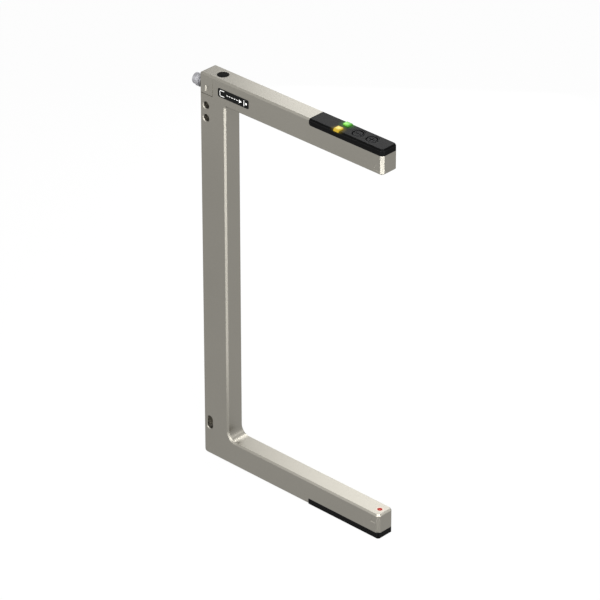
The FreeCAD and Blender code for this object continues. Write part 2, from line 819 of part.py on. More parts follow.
# Optics: the chip under the board, the holder over it and the lens through the arm's inner face.
def make_optics(arm, name, chip_label):
    inner_face = board_level + s.board_thickness
    make_box(chip_label, about(optic_x, s.chip_side), about(0, s.chip_side),
             band(arm, inner_face, inner_face + s.chip_height))
    holder = new_body(f"{name}_holder")
    reach = s.holder_length / 2
    block(holder, "Additive", f"{name}_holder_case", either_side(reach),
          either_side(s.holder_width / 2), (-s.board_standoff, 0))
    chip_half = s.chip_side / 2 + s.chip_fit
    block(holder, "Subtractive", f"{name}_chip_nest", either_side(chip_half), either_side(chip_half),
          (-s.chip_height - s.chip_fit, 0))
    rod(holder, "Subtractive", f"{name}_light_hole", s.light_hole_radius, s.board_standoff,
        (0, 0, -s.board_standoff))
    rod(holder, "Subtractive", f"{name}_lens_nest", s.flange_radius + s.lens_fit,
        s.flange_thickness + s.lens_fit, (0, 0, -s.board_standoff))
    place_on_arm(holder, arm, optic_x, inner_face)
    lens = new_body(f"{name}_lens")
    profile = new_sketch(lens, f"{name}_lens_profile", "XZ_Plane")
    add_polygon(profile, [
        (0, s.lens_recess - s.floor_wall), (s.lens_radius, s.lens_recess - s.floor_wall),
        (s.lens_radius, 0), (s.flange_radius, 0), (s.flange_radius, s.flange_thickness),
        (0, s.flange_thickness)])
    revolve(lens, profile, "V_Axis")
    place_on_arm(lens, arm, optic_x, floor_level)


# Plug in the spine's bore.
def make_plug():
    body = new_body("bore_plug")
    profile = new_sketch(body, "plug_profile", "XZ_Plane")
    wide = s.plug_radius - s.plug_fit
    narrow = s.bore_radius - s.plug_fit
    top = s.plug_thickness - s.plug_fit
    add_polygon(profile, [
        (0, -s.plug_spigot), (narrow, -s.plug_spigot), (narrow, 0), (wide, 0),
        (wide, top - s.plug_chamfer), (wide - s.plug_chamfer, top), (0, top)])
    revolve(body, profile, "V_Axis")
    place(body, s.bore_setback, 0, height - s.plug_thickness)


# Connector on the spine's back, laid out along +X from that face.
def make_connector():
    shell = new_body("connector_shell")
    profile = new_sketch(shell, "shell_profile", "XZ_Plane")
    start = -s.sleeve_length
    step = start + s.nose_length
    add_polygon(profile, [
        (start, s.socket_radius), (start, s.nose_radius - s.nose_chamfer),
        (start + s.nose_chamfer, s.nose_radius), (step, s.nose_radius),
        (step + s.sleeve_step, s.sleeve_radius), (-s.ring_width, s.sleeve_radius),
        (-s.ring_width, s.neck_radius), (0, s.neck_radius), (0, s.seat_radius - s.seat_fit),
        (s.seat_length, s.seat_radius - s.seat_fit), (s.seat_length, s.socket_radius)])
    revolve(shell, profile, "H_Axis")
    place(shell, 0, 0, connector_z)

    insert = new_body("connector_insert")
    face = new_sketch(insert, "insert_face", "YZ_Plane")
    add_circle(face, 0, 0, s.socket_radius - s.insert_fit)
    pins = doc.addObject("Part::Compound", "contact_pins")
    members = []
    for quarter in range(4):
        y, z = polar(s.pin_circle, 45 + 90 * quarter)
        add_circle(face, y, z, s.pin_radius + s.pin_fit)
        pin = doc.addObject("Part::Cylinder", f"pin_{quarter}")
        bind(pin, "Radius", s.pin_radius)
        bind(pin, "Height", s.pin_reach + s.insert_length)
        pin.Placement.Rotation = FreeCAD.Rotation(FreeCAD.Vector(0, 1, 0), 90)
        bind_place(pin, -s.pin_reach, y, z)
        members.append(pin)
    pins.Links = members
    keep(pins, "contact_pins")
    pad(insert, face, s.insert_length)
    front = s.socket_mouth - s.sleeve_length
    place(insert, front, 0, connector_z)
    place(pins, front, 0, connector_z)

    seal = new_body("connector_seal")
    ring = new_sketch(seal, "seal_face", "YZ_Plane")
    add_circle(ring, 0, 0, s.sleeve_radius - s.ring_inset)
    add_circle(ring, 0, 0, s.neck_radius + s.ring_fit)
    pad(seal, ring, s.ring_width - s.ring_fit)
    place(seal, s.ring_fit - s.ring_width, 0, connector_z)


# Cables: straight runs joined by tangent arcs, in a plane along the arms and the spine. Inside
# the casting a plain section with a few flat sides stands for their round one.
def make_cable(label, route, bend, y):
    stops = [FreeCAD.Vector(number(x), number(y), number(z)) for x, z in route]
    edges = []
    last = stops[0]
    for before, corner, after in zip(stops, stops[1:], stops[2:]):
        back = (before - corner).normalize()
        ahead = (after - corner).normalize()
        turn = math.pi - back.getAngle(ahead)
        trim = number(bend) * math.tan(turn / 2)
        start = corner + back * trim
        end = corner + ahead * trim
        toward = (back + ahead).normalize()
        middle = corner + toward * (number(bend) / math.cos(turn / 2) - number(bend))
        edges.append(Part.LineSegment(last, start).toShape())
        edges.append(Part.Arc(start, middle, end).toShape())
        last = end
    edges.append(Part.LineSegment(last, stops[-1]).toShape())
    path = Part.Wire(edges)
    across = FreeCAD.Vector(0, number(s.cable_radius), 0)
    axis = (stops[1] - stops[0]).normalize()
    sides = int(number(s.cable_sides))
    rim = [stops[0] + FreeCAD.Rotation(axis, 360 * side / sides).multVec(across) for side in range(sides)]
    section = Part.makePolygon(rim + rim[:1])
    cable = keep(doc.addObject("Part::Feature", label), label)
    cable.Shape = path.makePipeShell([section], True, False)
    place(cable)
    print(f"{label}: {path.Length:.1f} mm long, {cable.Shape.Volume:.1f} cubic mm")


def make_cables():
    block_face = pocket_start + s.rest_setback + s.rest_width
    low = level("lower", channel_level)
    high = level("upper", channel_level)
    make_cable("link_cable", [(block_face, low), (s.bore_setback, low), (s.bore_setback, high),
                              (block_face, high)], s.cable_bend, s.cable_offset)
    insert_end = s.socket_mouth - s.sleeve_length + s.insert_length
    make_cable("connector_leads", [(insert_end, connector_z), (insert_end + s.lead_run, connector_z),
                                   (insert_end + s.lead_run + s.lead_rise, high), (block_face, high)],
               s.lead_bend, -s.cable_offset)


make_housing()
upper_cover = make_cover("upper")
cut_wells(upper_cover)
cut_windows(upper_cover)
make_cover("lower")
for arm in arms:
    make_gasket(arm)
make_indicator("output", -1)
make_indicator("power", 1)
make_spindle("mode", s.mode_setback, crossed=False)
make_spindle("sensitivity", s.sensitivity_setback, crossed=True)
make_adjuster("mode_switch", s.mode_setback)
make_adjuster("sensitivity_pot", s.sensitivity_setback)
make_boards()
make_optics("upper", "receiver", "receiver_photodiode")
make_optics("lower", "emitter", "emitter_led")
make_plug()
make_connector()
make_cables()
doc.recompute()

failed = [item.Name for item in doc.Objects if {"Invalid", "Error"} & set(item.State)]
failed += [item.Label for item in pieces if item.Shape.isNull() or not item.Shape.isValid()]
if failed:
    raise RuntimeError("not built: " + ", ".join(failed))

os.makedirs("parts", exist_ok=True)
for item in pieces:
    item.Shape.exportStep(f"parts/{item.Label}.step")
print(len(pieces), "pieces written")
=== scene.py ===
import math

import bmesh
import bpy
from mathutils import Matrix, Vector


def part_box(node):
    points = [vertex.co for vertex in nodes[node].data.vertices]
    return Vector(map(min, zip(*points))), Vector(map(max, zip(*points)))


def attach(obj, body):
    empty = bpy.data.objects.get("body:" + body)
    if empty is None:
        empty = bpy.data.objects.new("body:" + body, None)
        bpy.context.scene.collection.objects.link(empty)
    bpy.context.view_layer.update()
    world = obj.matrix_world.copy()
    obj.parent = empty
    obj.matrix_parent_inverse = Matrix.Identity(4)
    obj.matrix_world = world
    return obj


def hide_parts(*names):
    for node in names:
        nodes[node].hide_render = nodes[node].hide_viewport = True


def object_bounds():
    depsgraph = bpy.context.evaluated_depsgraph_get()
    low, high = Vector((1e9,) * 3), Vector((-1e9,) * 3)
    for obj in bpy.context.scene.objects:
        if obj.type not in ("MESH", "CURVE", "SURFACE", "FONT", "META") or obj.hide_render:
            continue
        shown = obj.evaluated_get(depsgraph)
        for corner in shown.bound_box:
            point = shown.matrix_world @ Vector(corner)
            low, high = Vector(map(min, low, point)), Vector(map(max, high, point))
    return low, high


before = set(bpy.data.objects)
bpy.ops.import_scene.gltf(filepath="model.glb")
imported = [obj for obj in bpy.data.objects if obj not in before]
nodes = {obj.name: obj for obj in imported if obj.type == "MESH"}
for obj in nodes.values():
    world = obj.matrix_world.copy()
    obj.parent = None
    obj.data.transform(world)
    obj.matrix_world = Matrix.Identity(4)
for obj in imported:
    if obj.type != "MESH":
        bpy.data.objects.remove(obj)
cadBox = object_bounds()
print("frame loaded:", len(nodes), "CAD nodes")


# The camera stands where the photograph was taken from, fitted to the straight edges.
cameraSet = {
    "place": (1.4832212, -1.494502, 1.0855727),
    "yaw": 0.75832,         # turned about the upright, radians
    "dip": 0.52202,         # looking down, radians
    "lens": 250.735,        # millimetres, as the sensor
    "sensor": 36.0,
    "near": 0.05,
    "far": 50.0,
}


def makeCamera():
    data = bpy.data.cameras.new("studioCamera")
    data.lens = cameraSet["lens"]
    data.sensor_width = cameraSet["sensor"]
    data.clip_start = cameraSet["near"]
    data.clip_end = cameraSet["far"]
    camera = bpy.data.objects.new("studioCamera", data)
    camera.location = cameraSet["place"]
    camera.rotation_euler = (math.pi / 2 - cameraSet["dip"], 0.0, cameraSet["yaw"])
    bpy.context.scene.collection.objects.link(camera)
    bpy.context.scene.camera = camera


# Each box stands where the surfaces that its comment names reflect it to the camera.
softboxes = {
    # A tall strip behind, for the tops, which grow brighter towards the tips.
    "backStrip": {"place": (-0.14, 0.332, 0.03), "aim": (0.139, 0.0, -0.20),
                  "size": (0.2, 0.56), "power": 0.955},
    # Upright, in front of the spine, for the chamfers above the front.
    "bevelBox": {"place": (-0.07, -0.20, 0.07), "aim": (0.168, 0.0, -0.135),
                 "size": (0.16, 0.26), "power": 0.179},
    # Above the camera's side, for the corners of the tips.
    "sparkBox": {"place": (0.47, -0.31, 0.57), "aim": (0.135, 0.0, -0.212),
                 "size": (0.2, 0.2), "power": 3.5},
    # Past the tips, for the chamfer over the lower tip.
    "tipBox": {"place": (0.48, 0.44, 0.20), "aim": (0.135, 0.0, -0.212),
               "size": (0.2, 0.2), "power": 0.5},
    # Low on the camera's side, for the bright upright corners.
    "cornerBox": {"place": (0.269, -0.18, -0.13), "aim": (0.105, 0.0, 0.01),
                  "size": (0.10, 0.07), "power": 0.36},
    # Low in front of the slot, for the inner edge of the spine further down.
    "innerBox": {"place": (0.095, -0.078, -0.158), "aim": (0.0195, -0.0055, -0.098),
                 "size": (0.03, 0.135), "power": 0.027},
    # Small and low past the slot, for the upright corner of the lower tip.
    "toeBox": {"place": (0.207, -0.075, -0.205), "aim": (0.137, -0.0055, -0.222),
               "size": (0.04, 0.02), "power": 0.05},
    # High behind, for the rounded inner corner of the lower arm.
    "filletBox": {"place": (-0.01, 0.34, 0.20), "aim": (0.025, 0.0, -0.206),
                  "size": (0.06, 0.08), "power": 0.48},
    # Beside the camera, for the lower rims of the fixing holes.
    "mouthBox": {"place": (0.36, -0.70, 0.34), "aim": (0.0, 0.0, -0.08),
                 "size": (0.3, 0.44), "power": 3.5},
}
studio = {
    "sky": 0.62,            # plain level of the surroundings, for matt surfaces
    "floorTone": 0.86,
    "floorReach": 6.0,      # half its width
    "floorGap": 0.0003,     # between the floor and the part's lowest point
    "floorShade": 0.05,     # how much of the floor's own shading the camera sees
}


def addSoftbox(name, place, aim, size, power):
    data = bpy.data.lights.new(name, "AREA")
    data.shape = "RECTANGLE"
    data.size, data.size_y = size
    data.energy = power
    lamp = bpy.data.objects.new(name, data)
    lamp.location = place
    lamp.rotation_euler = (Vector(aim) - Vector(place)).to_track_quat("-Z", "Y").to_euler()
    lamp.visible_camera = False
    bpy.context.scene.collection.objects.link(lamp)


def addMath(tree, operation, first, second, clamp=False):
    node = tree.nodes.new("ShaderNodeMath")
    node.operation = operation
    node.use_clamp = clamp
    for socket, item in zip(node.inputs, (first, second)):
        if isinstance(item, (int, float)):
            socket.default_value = item
        else:
            tree.links.new(item, socket)
    return node.outputs[0]


def addVector(tree, operation, first, second=None):
    node = tree.nodes.new("ShaderNodeVectorMath")
    node.operation = operation
    tree.links.new(first, node.inputs[0])
    if second is not None:
        tree.links.new(second, node.inputs[1])
    return node


def seenDirectly(tree):
    # 1 for what the camera, a reflection or a clear part looks at.
    path = tree.nodes.new("ShaderNodeLightPath")
    seen = addMath(tree, "MAXIMUM", path.outputs["Is Camera Ray"], path.outputs["Is Glossy Ray"])
    return addMath(tree, "MAXIMUM", seen, path.outputs["Is Transmission Ray"])


def blendShaders(tree, share, first, second, out):
    mix = tree.nodes.new("ShaderNodeMixShader")
    tree.links.new(share, mix.inputs["Fac"])
    tree.links.new(first.outputs[0], mix.inputs[1])
    tree.links.new(second.outputs[0], mix.inputs[2])
    tree.links.new(mix.outputs[0], out.inputs["Surface"])


def makeWorld():
    world = bpy.data.worlds.new("studioSky")
    world.use_nodes = True
    tree = world.node_tree
    tree.nodes.clear()
    out = tree.nodes.new("ShaderNodeOutputWorld")
    plain = tree.nodes.new("ShaderNodeBackground")
    plain.inputs["Strength"].default_value = studio["sky"]
    white = tree.nodes.new("ShaderNodeBackground")
    white.inputs["Color"].default_value = (1, 1, 1, 1)
    blendShaders(tree, seenDirectly(tree), plain, white, out)
    bpy.context.scene.world = world


def makeFloor():
    level = cadBox[0].z - studio["floorGap"]
    reach = studio["floorReach"]
    tone = studio["floorTone"]
    mesh = bpy.data.meshes.new("floor")
    mesh.from_pydata([(-reach, -reach, level), (reach, -reach, level), (reach, reach, level),
                      (-reach, reach, level)], [], [(0, 1, 2, 3)])
    floor = bpy.data.objects.new("floor", mesh)
    bpy.context.scene.collection.objects.link(floor)
    material = bpy.data.materials.new("paleFloor")
    material.use_nodes = True
    tree = material.node_tree
    tree.nodes.clear()
    out = tree.nodes.new("ShaderNodeOutputMaterial")
    matt = tree.nodes.new("ShaderNodeBsdfDiffuse")
    matt.inputs["Color"].default_value = (tone, tone, tone, 1)
    white = tree.nodes.new("ShaderNodeEmission")
    share = addMath(tree, "MULTIPLY", seenDirectly(tree), 1 - studio["floorShade"])
    blendShaders(tree, share, matt, white, out)
    mesh.materials.append(material)


makeCamera()
makeWorld()
makeFloor()
for name, box in softboxes.items():
    addSoftbox(name, **box)
bpy.context.scene.view_settings.view_transform = "Standard"
print("camera, light and floor ready")


# What the groups do the same way on every surface.
edgeSet = {"samples": 4, "radius": 0.0004, "gain": 8.0}
glowFalloff = 2.2
grainStops = (0.25, 0.75)


def newGroup(name, inputs, outputs):
    tree = bpy.data.node_groups.new(name, "ShaderNodeTree")
    for label, kind, value in inputs:
        socket = tree.interface.new_socket(name=label, in_out="INPUT", socket_type=kind)
        socket.default_value = value
    for label, kind in outputs:
        tree.interface.new_socket(name=label, in_out="OUTPUT", socket_type=kind)
    return tree, tree.nodes.new("NodeGroupInput"), tree.nodes.new("NodeGroupOutput")


def addNoise(tree, vector, scale, detail=2.0, roughness=0.5):
    node = tree.nodes.new("ShaderNodeTexNoise")
    node.inputs["Detail"].default_value = detail
    node.inputs["Roughness"].default_value = roughness
    tree.links.new(vector, node.inputs["Vector"])
    tree.links.new(scale, node.inputs["Scale"])
    return node.outputs["Fac"]


def makeGrainGroup():
    # Fine even grain with slow clouds over it. Height is for a bump, Tone for the colour.
    tree, start, end = newGroup(
        "fineGrain",
        [("Vector", "NodeSocketVector", (0, 0, 0)), ("Grain Scale", "NodeSocketFloat", 3000.0),
         ("Cloud Scale", "NodeSocketFloat", 40.0), ("Grain Share", "NodeSocketFloat", 0.5)],
        [("Height", "NodeSocketFloat"), ("Tone", "NodeSocketFloat"),
         ("Cloud", "NodeSocketFloat")])
    grain = addNoise(tree, start.outputs["Vector"], start.outputs["Grain Scale"], 3.0, 0.6)
    cloud = addNoise(tree, start.outputs["Vector"], start.outputs["Cloud Scale"])
    fine = addMath(tree, "MULTIPLY", grain, start.outputs["Grain Share"])
    rest = addMath(tree, "SUBTRACT", 1.0, start.outputs["Grain Share"])
    slow = addMath(tree, "MULTIPLY", cloud, rest)
    tree.links.new(grain, end.inputs["Height"])
    tree.links.new(addMath(tree, "ADD", fine, slow), end.inputs["Tone"])
    tree.links.new(cloud, end.inputs["Cloud"])
    return tree


def makeEdgeGroup():
    # 1 along edges, broken up by noise: partly where handling has polished the surface, partly a
    #                                    painted highlight along the edges.
    tree, start, end = newGroup(
        "edgeWearAndSheen",
        [("Vector", "NodeSocketVector", (0, 0, 0)), ("Break Up", "NodeSocketFloat", 180.0),
         ("Strength", "NodeSocketFloat", 1.0)],
        [("Mask", "NodeSocketFloat")])
    bevel = tree.nodes.new("ShaderNodeBevel")
    bevel.samples = edgeSet["samples"]
    bevel.inputs["Radius"].default_value = edgeSet["radius"]
    geometry = tree.nodes.new("ShaderNodeNewGeometry")
    dot = addVector(tree, "DOT_PRODUCT", bevel.outputs["Normal"], geometry.outputs["Normal"])
    bend = addMath(tree, "SUBTRACT", 1.0, dot.outputs["Value"])
    wide = addMath(tree, "MULTIPLY", bend, edgeSet["gain"], clamp=True)
    patch = addNoise(tree, start.outputs["Vector"], start.outputs["Break Up"])
    wornAndLit = addMath(tree, "MULTIPLY", wide, patch)
    tree.links.new(addMath(tree, "MULTIPLY", wornAndLit, start.outputs["Strength"], clamp=True),
                   end.inputs["Mask"])
    return tree


def makeGlowGroup():
    # Light that spills from a lamp over the surface round it, fading with distance.
    tree, start, end = newGroup(
        "lampGlow",
        [("Vector", "NodeSocketVector", (0, 0, 0)), ("Lamp", "NodeSocketVector", (0, 0, 0)),
         ("Stretch", "NodeSocketVector", (1, 1, 1)), ("Reach", "NodeSocketFloat", 0.005),
         ("Colour", "NodeSocketColor", (1, 1, 1, 1)), ("Strength", "NodeSocketFloat", 1.0)],
        [("Glow", "NodeSocketColor")])
    offset = addVector(tree, "SUBTRACT", start.outputs["Vector"], start.outputs["Lamp"])
    shape = addVector(tree, "MULTIPLY", offset.outputs["Vector"], start.outputs["Stretch"])
    length = addVector(tree, "LENGTH", shape.outputs["Vector"])
    share = addMath(tree, "DIVIDE", length.outputs["Value"], start.outputs["Reach"])
    near = addMath(tree, "SUBTRACT", 1.0, share, clamp=True)
    soft = addMath(tree, "POWER", near, glowFalloff)
    level = addMath(tree, "MULTIPLY", soft, start.outputs["Strength"])
    tint = tree.nodes.new("ShaderNodeMix")
    tint.data_type = "RGBA"
    tint.blend_type = "MIX"
    tint.clamp_factor = False
    tint.inputs["A"].default_value = (0, 0, 0, 1)
    tree.links.new(level, tint.inputs["Factor"])
    tree.links.new(start.outputs["Colour"], tint.inputs["B"])
    tree.links.new(tint.outputs["Result"], end.inputs["Glow"])
    return tree


grainGroup = makeGrainGroup()
edgeGroup = makeEdgeGroup()
glowGroup = makeGlowGroup()


def placeGroup(tree, group, vector, **values):
    node = tree.nodes.new("ShaderNodeGroup")
    node.node_tree = group
    tree.links.new(vector, node.inputs["Vector"])
    for label, value in values.items():
        node.inputs[label.replace("_", " ")].default_value = value
    return node


def addRamp(tree, factor, low, high):
    node = tree.nodes.new("ShaderNodeValToRGB")
    for element, position, colour in zip(node.color_ramp.elements, grainStops, (low, high)):
        element.position, element.color = position, colour
    tree.links.new(factor, node.inputs["Fac"])
    return node.outputs["Color"]


def addRange(tree, value, low, high):
    node = tree.nodes.new("ShaderNodeMapRange")
    tree.links.new(value, node.inputs["Value"])
    node.inputs["To Min"].default_value = low
    node.inputs["To Max"].default_value = high
    return node.outputs["Result"]


def mixColour(tree, factor, first, second, kind="MIX"):
    node = tree.nodes.new("ShaderNodeMix")
    node.data_type = "RGBA"
    node.blend_type = kind
    for socket, item in ((node.inputs["Factor"], factor), (node.inputs["A"], first),
                         (node.inputs["B"], second)):
        if isinstance(item, (int, float, tuple)):
            socket.default_value = item
        else:
            tree.links.new(item, socket)
    return node.outputs["Result"]


def srgb(red, green, blue):
    # A colour picked on screen, 0 to 255, as linear light.
    def linear(level):
        level /= 255
        return level / 12.92 if level <= 0.04045 else ((level + 0.055) / 1.055) ** 2.4
    return (linear(red), linear(green), linear(blue), 1.0)


def shade(colour, factor):
    return (colour[0] * factor, colour[1] * factor, colour[2] * factor, 1.0)


# What a finish has where its own dictionary doesn't say.
plainFinish = {
    "grainScale": 3000.0, "cloudScale": 40.0, "grainShare": 0.5,
    "toneSpread": 0.06,     # how far the grain moves the colour
    "glossSpread": 0.04,    # and the roughness
    "metal": 0.0, "specular": 0.5, "bump": 0.2, "relief": 0.00002,
    "edgeStrength": 1.0, "glows": [],
}


def newMaterial(name, finish):
    # A surface with grain in its tone, its gloss and its relief, and lighter edges, partly worn
    # and partly a painted highlight.
    finish = {**plainFinish, **finish}
    material = bpy.data.materials.new(name)
    material.use_nodes = True
    tree = material.node_tree
    shader = tree.nodes["Principled BSDF"]
    place = tree.nodes.new("ShaderNodeTexCoord").outputs["Object"]
    grain = placeGroup(tree, grainGroup, place, Grain_Scale=finish["grainScale"],
                       Cloud_Scale=finish["cloudScale"], Grain_Share=finish["grainShare"])
    spread = finish["toneSpread"]
    colour = addRamp(tree, grain.outputs["Tone"], shade(finish["colour"], 1 - spread),
                     shade(finish["colour"], 1 + spread))
    gloss = addRange(tree, grain.outputs["Cloud"], finish["roughness"] - finish["glossSpread"],
                     finish["roughness"] + finish["glossSpread"])
    if "edge" in finish:
        # The edge colour goes on along the edges: partly wear, partly a painted highlight.
        wearAndSheen = placeGroup(tree, edgeGroup, place, Strength=finish["edgeStrength"])
        colour = mixColour(tree, wearAndSheen.outputs["Mask"], colour, finish["edge"])
    tree.links.new(colour, shader.inputs["Base Color"])
    tree.links.new(gloss, shader.inputs["Roughness"])
    shader.inputs["Metallic"].default_value = finish["metal"]
    shader.inputs["Specular IOR Level"].default_value = finish["specular"]
    bump = tree.nodes.new("ShaderNodeBump")
    bump.inputs["Strength"].default_value = finish["bump"]
    bump.inputs["Distance"].default_value = finish["relief"]
    tree.links.new(grain.outputs["Height"], bump.inputs["Height"])
    tree.links.new(bump.outputs["Normal"], shader.inputs["Normal"])
    total = None
    for glow in finish["glows"]:
        spill = placeGroup(tree, glowGroup, place, **glow).outputs["Glow"]
        total = spill if total is None else mixColour(tree, 1.0, total, spill, "ADD")
    if total is not None:
        tree.links.new(total, shader.inputs["Emission Color"])
        shader.inputs["Emission Strength"].default_value = 1.0
    return material


def dress(material, *names):
    for name in names:
        slots = nodes[name].data.materials
        slots.clear()
        slots.append(material)


def centreOf(name):
    low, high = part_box(name)
    return (low + high) / 2


amberAt = centreOf("output_indicator")
greenAt = centreOf("power_indicator")
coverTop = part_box("upper_cover")[1].z
lensAt = centreOf("emitter_lens")
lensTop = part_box("emitter_lens")[1].z

# Each edge colour below is lighter than its surface: partly wear, partly a painted highlight
# along the edges.
nickelCasting = newMaterial("nickelCasting", {
    "colour": shade(srgb(134, 131, 123), 1.015), "roughness": 0.4, "metal": 1.0,
    "grainScale": 2600.0, "cloudScale": 22.0, "grainShare": 0.7, "toneSpread": 0.07,
    "bump": 0.16, "relief": 0.00003, "glossSpread": 0.03,
    "edge": shade(srgb(150, 147, 139), 1.1), "edgeStrength": 0.3,
    "glows": [
        {"Lamp": (lensAt.x, lensAt.y, lensTop), "Reach": 0.003,
         "Colour": (1.0, 0.35, 0.25, 1), "Strength": 1.6}],
})
coverPlastic = newMaterial("coverPlastic", {
    "colour": srgb(8, 8, 8), "roughness": 0.4, "specular": 0.03,
    "grainScale": 1500.0, "cloudScale": 60.0, "grainShare": 0.6, "toneSpread": 0.15,
    "bump": 0.35, "relief": 0.00004, "edge": srgb(58, 58, 60), "edgeStrength": 0.7,
    "glows": [
        {"Lamp": (amberAt.x, amberAt.y, coverTop), "Stretch": (1, 1, 3), "Reach": 0.006,
         "Colour": (0.8, 0.58, 0.03, 1), "Strength": 0.6},
        {"Lamp": (greenAt.x, greenAt.y, coverTop), "Stretch": (1, 1, 3), "Reach": 0.0065,
         "Colour": (0.16, 0.9, 0.06, 1), "Strength": 0.5}],
})
dress(nickelCasting, "housing")
dress(coverPlastic, "upper_cover", "lower_cover")
print("main finishes ready")


# Small parts that stay as the CAD made them, each kind with its own finish.
smallFinishes = {
    "bore_plug": {
        "nodes": ["bore_plug"],
        "colour": srgb(14, 14, 13), "roughness": 0.55, "specular": 0.015, "grainScale": 1800.0,
        "bump": 0.3, "relief": 0.00003, "toneSpread": 0.12, "edge": srgb(50, 50, 50)},
    "spindles": {
        "nodes": ["mode_spindle", "sensitivity_spindle"],
        "colour": srgb(15, 15, 16), "roughness": 0.5, "specular": 0.04, "grainScale": 1400.0,
        "bump": 0.15, "toneSpread": 0.12, "edge": srgb(90, 90, 92), "edgeStrength": 0.8},
    "seals": {
        "nodes": ["mode_seal", "sensitivity_seal", "connector_seal", "upper_cover_gasket",
                  "lower_cover_gasket"],
        "colour": srgb(18, 18, 18), "roughness": 0.6, "specular": 0.1, "grainScale": 2400.0,
        "bump": 0.4, "toneSpread": 0.2},
    "insert": {
        "nodes": ["connector_insert", "receiver_holder", "emitter_holder"],
        "colour": srgb(30, 30, 31), "roughness": 0.5, "grainScale": 1800.0, "toneSpread": 0.1},
    "contacts": {
        "nodes": ["contact_pins"],
        "colour": (0.78, 0.56, 0.22, 1), "roughness": 0.22, "metal": 1.0,
        "grainScale": 2500.0, "bump": 0.08},
    "boards": {
        "nodes": ["receiver_board", "emitter_board"],
        "colour": (0.012, 0.12, 0.05, 1), "roughness": 0.32, "grainScale": 900.0,
        "cloudScale": 300.0, "bump": 0.15, "toneSpread": 0.35},
    "chips": {
        "nodes": ["signal_chip", "output_driver", "driver_chip"],
        "colour": srgb(30, 30, 32), "roughness": 0.55, "grainScale": 3500.0, "bump": 0.35,
        "toneSpread": 0.15, "edge": srgb(80, 80, 82)},
    "terminals": {
        "nodes": ["receiver_terminal", "emitter_terminal"],
        "colour": srgb(222, 219, 208), "roughness": 0.45, "grainScale": 2000.0, "bump": 0.15,
        "toneSpread": 0.04},
    "adjusterCases": {
        "nodes": ["mode_switch", "sensitivity_pot"],
        "colour": srgb(28, 66, 128), "roughness": 0.4, "grainScale": 2000.0, "bump": 0.15,
        "toneSpread": 0.08},
    "lamps": {
        "nodes": ["output_led", "power_led", "emitter_led"],
        "colour": srgb(226, 222, 196), "roughness": 0.3, "grainScale": 2600.0, "bump": 0.08,
        "toneSpread": 0.04},
    "photodiode": {
        "nodes": ["receiver_photodiode"],
        "colour": srgb(40, 38, 52), "roughness": 0.2, "grainScale": 2600.0, "bump": 0.05,
        "toneSpread": 0.08},
    "cables": {
        "nodes": ["link_cable", "connector_leads"],
        "colour": srgb(38, 38, 40), "roughness": 0.6, "grainScale": 1200.0, "bump": 0.4,
        "toneSpread": 0.1},
}
for label, finish in smallFinishes.items():
    dress(newMaterial(label, finish), *finish["nodes"])
print("small parts dressed")


def litMaterial(name, finish):
    # Clear coloured plastic lit from below: brightest over its lamp, deeper at its rim.
    material = newMaterial(name, finish)
    tree = material.node_tree
    shader = tree.nodes["Principled BSDF"]
    place = tree.nodes.new("ShaderNodeTexCoord").outputs["Object"]
    core = placeGroup(tree, glowGroup, place, Lamp=finish["lamp"], Reach=finish["reach"],
                      Colour=finish["core"])
    total = mixColour(tree, 1.0, core.outputs["Glow"], finish["rim"], "ADD")
    tree.links.new(total, shader.inputs["Emission Color"])
    shader.inputs["Emission Strength"].default_value = 1.0
    return material


# The lamp of each light pipe sits a little towards the middle of the cover.
amberPipe = litMaterial("amberPipe", {
    "colour": srgb(90, 66, 8), "roughness": 0.35, "specular": 0.15, "grainScale": 900.0,
    "bump": 0.1, "toneSpread": 0.08,
    "lamp": (amberAt.x, amberAt.y + 0.0004, coverTop + 0.0008), "reach": 0.0032,
    "core": (0.62, 0.62, 0.16, 1), "rim": (0.46, 0.33, 0.02, 1)})
greenPipe = litMaterial("greenPipe", {
    "colour": srgb(20, 70, 10), "roughness": 0.35, "specular": 0.15, "grainScale": 900.0,
    "bump": 0.1, "toneSpread": 0.08,
    "lamp": (greenAt.x - 0.0006, greenAt.y - 0.0010, coverTop + 0.0008), "reach": 0.0038,
    "core": (0.34, 0.8, 0.1, 1), "rim": (0.07, 0.3, 0.03, 1)})
redLens = litMaterial("redLens", {
    "colour": srgb(90, 6, 5), "roughness": 0.4, "specular": 0.03, "grainScale": 900.0,
    "bump": 0.05, "lamp": (lensAt.x, lensAt.y, lensTop), "reach": 0.0012,
    "core": (0.62, 0.13, 0.08, 1), "rim": (0.22, 0.008, 0.006, 1)})
darkLens = newMaterial("darkLens", {
    "colour": srgb(40, 8, 10), "roughness": 0.15, "grainScale": 900.0, "bump": 0.04})
dress(amberPipe, "output_indicator")
dress(greenPipe, "power_indicator")
dress(redLens, "emitter_lens")
dress(darkLens, "receiver_lens")
print("lit parts dressed")


def linkPiece(name, mesh, material=None, body="sensor"):
    piece = bpy.data.objects.new(name, mesh)
    bpy.context.scene.collection.objects.link(piece)
    if material is not None:
        mesh.materials.clear()
        mesh.materials.append(material)
    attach(piece, body)
    return piece


def meshFrom(build, name, weld=1e-7):
    mesh = bpy.data.meshes.new(name)
    shape = bmesh.new()
    build(shape)
    bmesh.ops.remove_doubles(shape, verts=shape.verts, dist=weld)
    bmesh.ops.recalc_face_normals(shape, faces=shape.faces)
    shape.to_mesh(mesh)
    shape.free()
    return mesh


